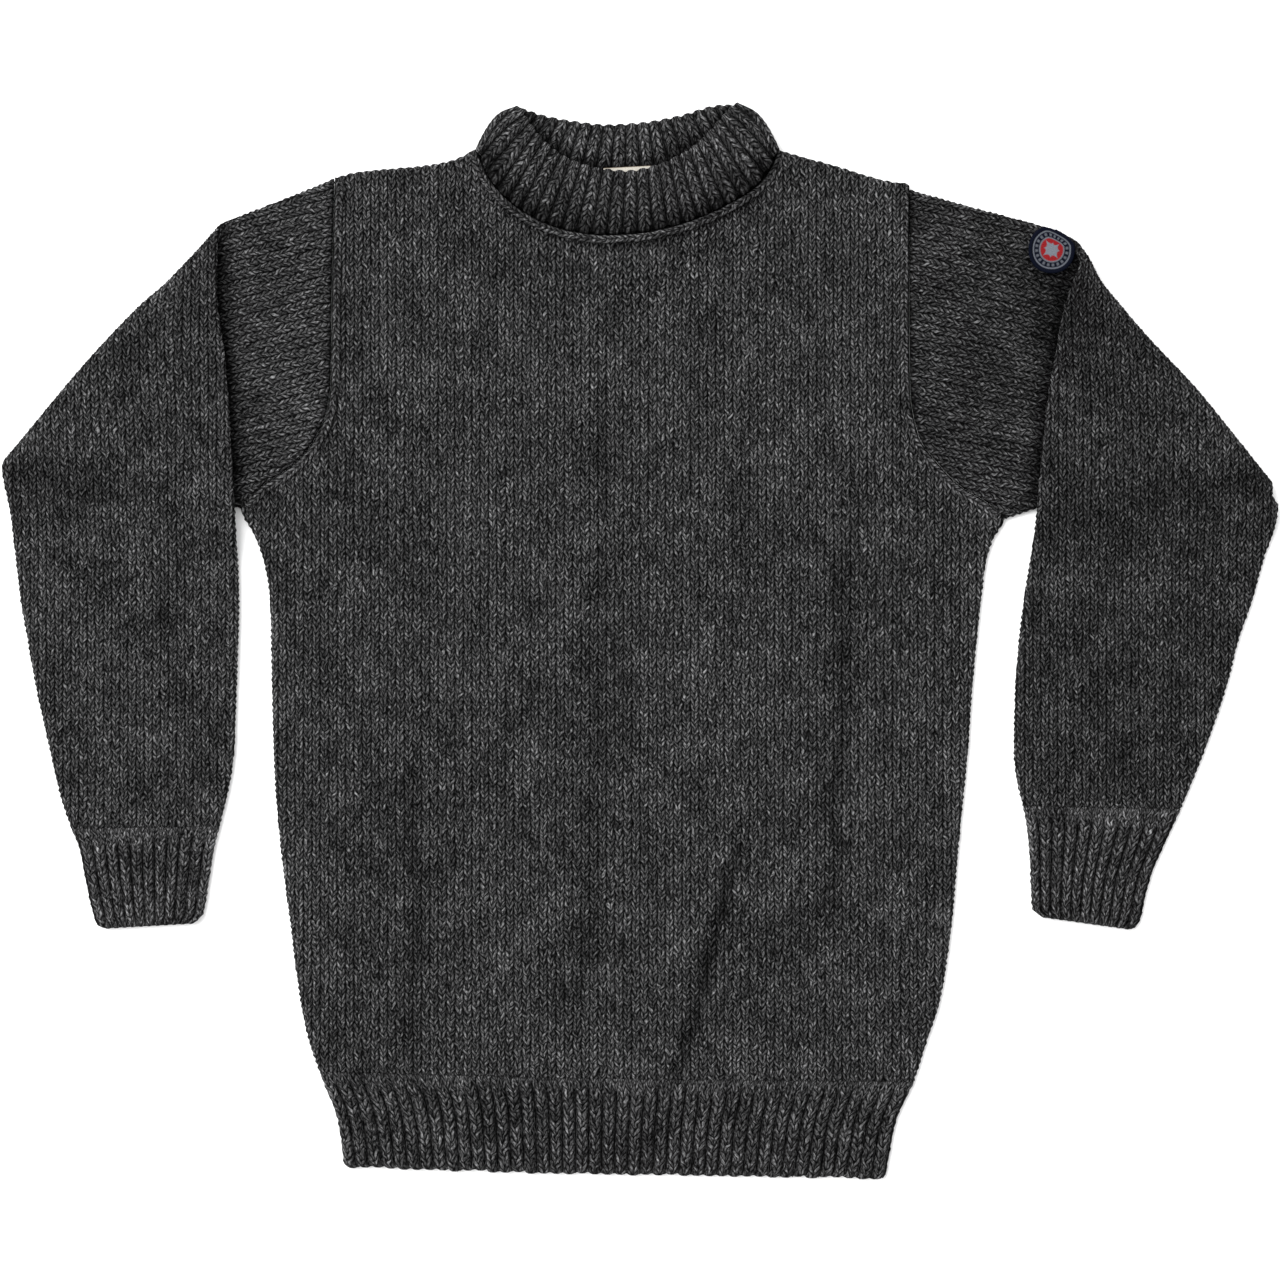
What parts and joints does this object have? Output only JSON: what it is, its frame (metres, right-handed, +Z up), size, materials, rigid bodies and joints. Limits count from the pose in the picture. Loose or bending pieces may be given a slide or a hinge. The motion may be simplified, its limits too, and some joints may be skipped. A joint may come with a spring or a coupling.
{
  "type": "wool sweater",
  "caption": "Chunky charcoal wool crew-neck sweater laid flat, sleeves folded over at the elbow, with ribbed collar, cuffs and hem.",
  "frame": {"origin": "middle of the sweater's outline, on the surface that it lies on", "axes": "+X across the chest towards the sleeve with the badge, +Y from hem to collar, +Z up off the surface"},
  "size_m": [0.9285, 0.7843, 0.0146],
  "materials": {
    "knit": "matt charcoal heather wool, stocking stitch",
    "rib": "matt charcoal heather wool, one by one rib",
    "label": "plain woven cream tape",
    "badge": "embroidered navy patch"
  },
  "bodies": {
    "root": {"front_panel": "knit", "back_panel": "knit", "sleeve_left": "knit", "sleeve_right": "knit", "front_hem_rib": "rib", "back_hem_rib": "rib", "cuff_left": "rib", "cuff_right": "rib", "collar_band": "rib", "neck_label": "label", "sleeve_badge": "badge"}
  },
  "joints": []
}
